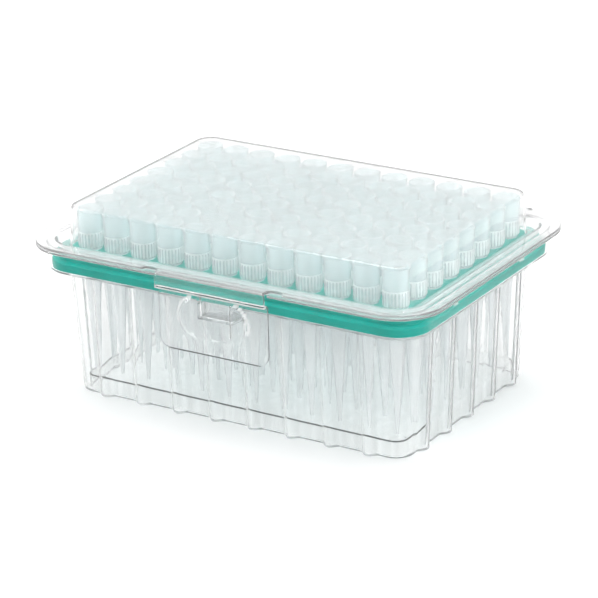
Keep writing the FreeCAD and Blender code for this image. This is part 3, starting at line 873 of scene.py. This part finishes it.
TIP_PROFILE = (
    (0.28, TIP_END),
    (0.50, TIP_END),
    (1.35, 20.0),
    (2.86, DECK_TOP - 0.3),
    (2.90, DECK_TOP),
    (3.42, DECK_TOP + 0.02),
    (3.46, 43.4),
    (3.50, 43.9),
    (3.58, 47.4),
    (3.60, 47.9),
    (3.66, 48.3),
    (3.84, 54.0),
    (3.80, TIP_RIM),
    (3.34, TIP_RIM),
    (3.28, 54.1),
    (2.95, 48.0),
    (2.60, 43.0),
    (1.05, 20.0),
    (0.28, TIP_END),
)
TIP_SIDES = 48
RIBS = {"foot": 43.6, "top": 47.7, "from_radius": 3.4, "height": 0.22}
RIBBED_STRIPS = (7, 8)
STRIP_OVER_RIBS = 9
# The cups take an aqua tint of painted teal light from the deck, and one flank of each rib a painted
# highlight.
BODY, CUP, RIB_HIGHLIGHT = range(3)


def tip_region(number, level):
    """Which of the tips' materials a face takes: one flank of each rib and the ring over them take a
    painted highlight.
    """
    strip = number // TIP_SIDES % (len(TIP_PROFILE) - 1)
    if strip == STRIP_OVER_RIBS or (strip in RIBBED_STRIPS and number % 2 == 0):
        return RIB_HIGHLIGHT
    return CUP if level > DECK_TOP * MM else BODY


def make_tips(body, cup, rib):
    """One column of tips as one mesh, and an object of it for each column of the deck."""
    vertices, faces = [], []
    for number, y in enumerate(row_places(ROWS)):
        vertices += lathe_points(TIP_PROFILE, TIP_SIDES, 0.0, y, RIBS)
        faces += tube_faces(len(TIP_PROFILE), TIP_SIDES, number * len(TIP_PROFILE) * TIP_SIDES)
    pattern = make_object("tips_01", np.concatenate(vertices), faces, body)
    pattern.data.materials.append(cup)
    pattern.data.materials.append(rib)
    for number, face in enumerate(pattern.data.polygons):
        face.material_index = tip_region(number, face.center.z)
    pattern.data.set_sharp_from_angle(angle=SHARP_TIP_ANGLE)
    for number, x in enumerate(row_places(COLUMNS), start=1):
        tips = pattern if number == 1 else bpy.data.objects.new(f"tips_{number:02d}", pattern.data)
        if number > 1:
            bpy.context.scene.collection.objects.link(tips)
        tips.location.x = x * MM
        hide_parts(f"tip_column_{number:02d}")
        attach(tips, "base")


# The studio


def make_floor():
    shader = Shader("floor", Roughness=0.9, Specular_IOR_Level=0.1)
    shader.colour(shader.ramp(shader.noise(4), (0.93, 0.93, 0.93), (0.95, 0.95, 0.95)))
    reach = 4000.0
    corners = [(-reach, -reach, 0), (reach, -reach, 0), (reach, reach, 0), (-reach, reach, 0)]
    floor = make_object("floor", corners, [(0, 1, 2, 3)], shader.material)
    floor.location.z = -0.1 * MM


def make_light(name, place, target, size, power):
    light = bpy.data.lights.new(name, "AREA")
    light.shape = "RECTANGLE"
    light.size, light.size_y = size
    light.energy = power
    lamp = bpy.data.objects.new(name, light)
    lamp.location = place
    lamp.rotation_euler = (Vector(target) - Vector(place)).to_track_quat("-Z", "Y").to_euler()
    bpy.context.scene.collection.objects.link(lamp)


BACKDROP = (-0.45, 0.75, 0.5)
DIM, BRIGHT = 0.46, 0.82


def make_world():
    """A room with a bright wall behind and above the box and a dim one before it."""
    world = bpy.data.worlds.new("studio")
    world.use_nodes = True
    bpy.context.scene.world = world
    tree = world.node_tree
    background = tree.nodes["Background"]
    place = tree.nodes.new("ShaderNodeTexCoord")
    towards = tree.nodes.new("ShaderNodeVectorMath")
    towards.operation = "DOT_PRODUCT"
    towards.inputs[1].default_value = BACKDROP
    shift = tree.nodes.new("ShaderNodeMath")
    shift.operation = "MULTIPLY_ADD"
    shift.inputs[1].default_value = 0.5
    shift.inputs[2].default_value = 0.5
    ramp = tree.nodes.new("ShaderNodeValToRGB")
    before, behind = ramp.color_ramp.elements
    before.position, before.color = 0.35, (DIM, DIM, DIM, 1)
    behind.position, behind.color = 0.72, (BRIGHT, BRIGHT, BRIGHT, 1)
    tree.links.new(place.outputs["Generated"], towards.inputs[0])
    tree.links.new(towards.outputs["Value"], shift.inputs[0])
    tree.links.new(shift.outputs["Value"], ramp.inputs["Fac"])
    tree.links.new(ramp.outputs["Color"], background.inputs["Color"])
    background.inputs["Strength"].default_value = 1.0


def make_lights():
    make_light("overhead", place=(0.0, 0.1, 1.2), target=(0, 0, 0), size=(1.2, 0.9), power=9)
    for name, place in (("left_strip", (-0.8, -0.5, 0.45)), ("right_strip", (0.9, -0.35, 0.45))):
        make_light(name, place, target=(0, 0, 0.03), size=(0.05, 0.9), power=3)


CAMERA_PLACE = (422.364, -688.573, 338.042)
CAMERA_RIGHT = (0.856105, 0.516409, -0.020138)
CAMERA_UP = (-0.170446, 0.318923, 0.932328)
FOCAL_WIDTHS = 5.0668896


def make_camera():
    camera = bpy.data.cameras.new("camera")
    camera.sensor_width = 36.0
    camera.lens = camera.sensor_width * FOCAL_WIDTHS
    camera.clip_end = 20
    holder = bpy.data.objects.new("camera", camera)
    right, up = Vector(CAMERA_RIGHT), Vector(CAMERA_UP)
    turn = Matrix((right, up, right.cross(up))).transposed().to_4x4()
    holder.matrix_world = Matrix.Translation(Vector(CAMERA_PLACE) * MM) @ turn
    bpy.context.scene.collection.objects.link(holder)
    bpy.context.scene.camera = holder


WALLS_CROSSED = 16


def see_through_many_layers():
    """Light crosses enough walls of sheet and tips to leave the box, and keeps its own colours."""
    scene = bpy.context.scene
    scene.cycles.max_bounces = WALLS_CROSSED
    scene.cycles.transmission_bounces = WALLS_CROSSED
    scene.cycles.transparent_max_bounces = WALLS_CROSSED
    scene.cycles.diffuse_bounces = 1
    scene.cycles.glossy_bounces = 3
    scene.view_settings.view_transform = "Standard"


make_camera()
tab_sheet = clear_sheet("tab_sheet", ior=1.3, milk=0.03)
# The rim's darker tint is painted shade, on the flanges and the folds.
rim_shade_sheet = clear_sheet("rim_shade_sheet", ior=1.4, milk=0.1, tint=0.935)
collar_sheet = clear_sheet("collar_sheet", ior=1.2, milk=0.0)
# A near black sheet: the dark line of painted shade at the tray's crease and at the tab's free edge.
crease_shade_sheet = clear_sheet("crease_shade_sheet", ior=1.2, milk=0.3, tint=0.02)
# A much milkier sheet: the painted highlight on the end nubs, the hood's shelf and the press's sides.
bend_highlight_sheet = clear_sheet("bend_highlight_sheet", ior=1.2, milk=0.45)
wall_sheet = clear_sheet("wall_sheet", ior=1.2, milk=0.06, sheen=1.0, streaked=True)
make_tray(collar_sheet, wall_sheet, tab_sheet, crease_shade_sheet, bend_highlight_sheet, rim_shade_sheet)
make_lid(
    clear_sheet("lid_sheet", ior=1.45, milk=0.05),
    rim_shade_sheet,
    # The top's darker tint and extra milk paint the greyish white haze of the overhead lamp's reflection.
    clear_sheet("lid_top_reflection_sheet", ior=1.3, milk=0.12, tint=0.955, haze=0.22),
    # The trough's darker tint is painted shade, and its extra milk painted light.
    clear_sheet("trough_light_and_shade_sheet", ior=1.3, milk=0.16, tint=0.95),
)
make_tab(tab_sheet, bend_highlight_sheet, crease_shade_sheet)
# The folds take the rim's darker tint of painted shade.
make_folds(rim_shade_sheet)
make_deck(deck_plastic())
make_tips(
    tip_plastic("tip_plastic", 0.8, (0.965, 0.981, 0.988), (0.98, 0.992, 0.997)),
    # The cups' aqua tint is painted teal light from the deck.
    tip_plastic("cup_teal_light_plastic", 0.72, (0.875, 0.985, 0.992), (0.905, 0.992, 0.998)),
    # A much milkier plastic: the painted highlight on one flank of each rib and on the ring over them.
    tip_plastic("rib_highlight_plastic", 0.35, (0.93, 0.98, 0.986), (0.955, 0.99, 0.995)),
)
make_floor()
make_world()
make_lights()
see_through_many_layers()
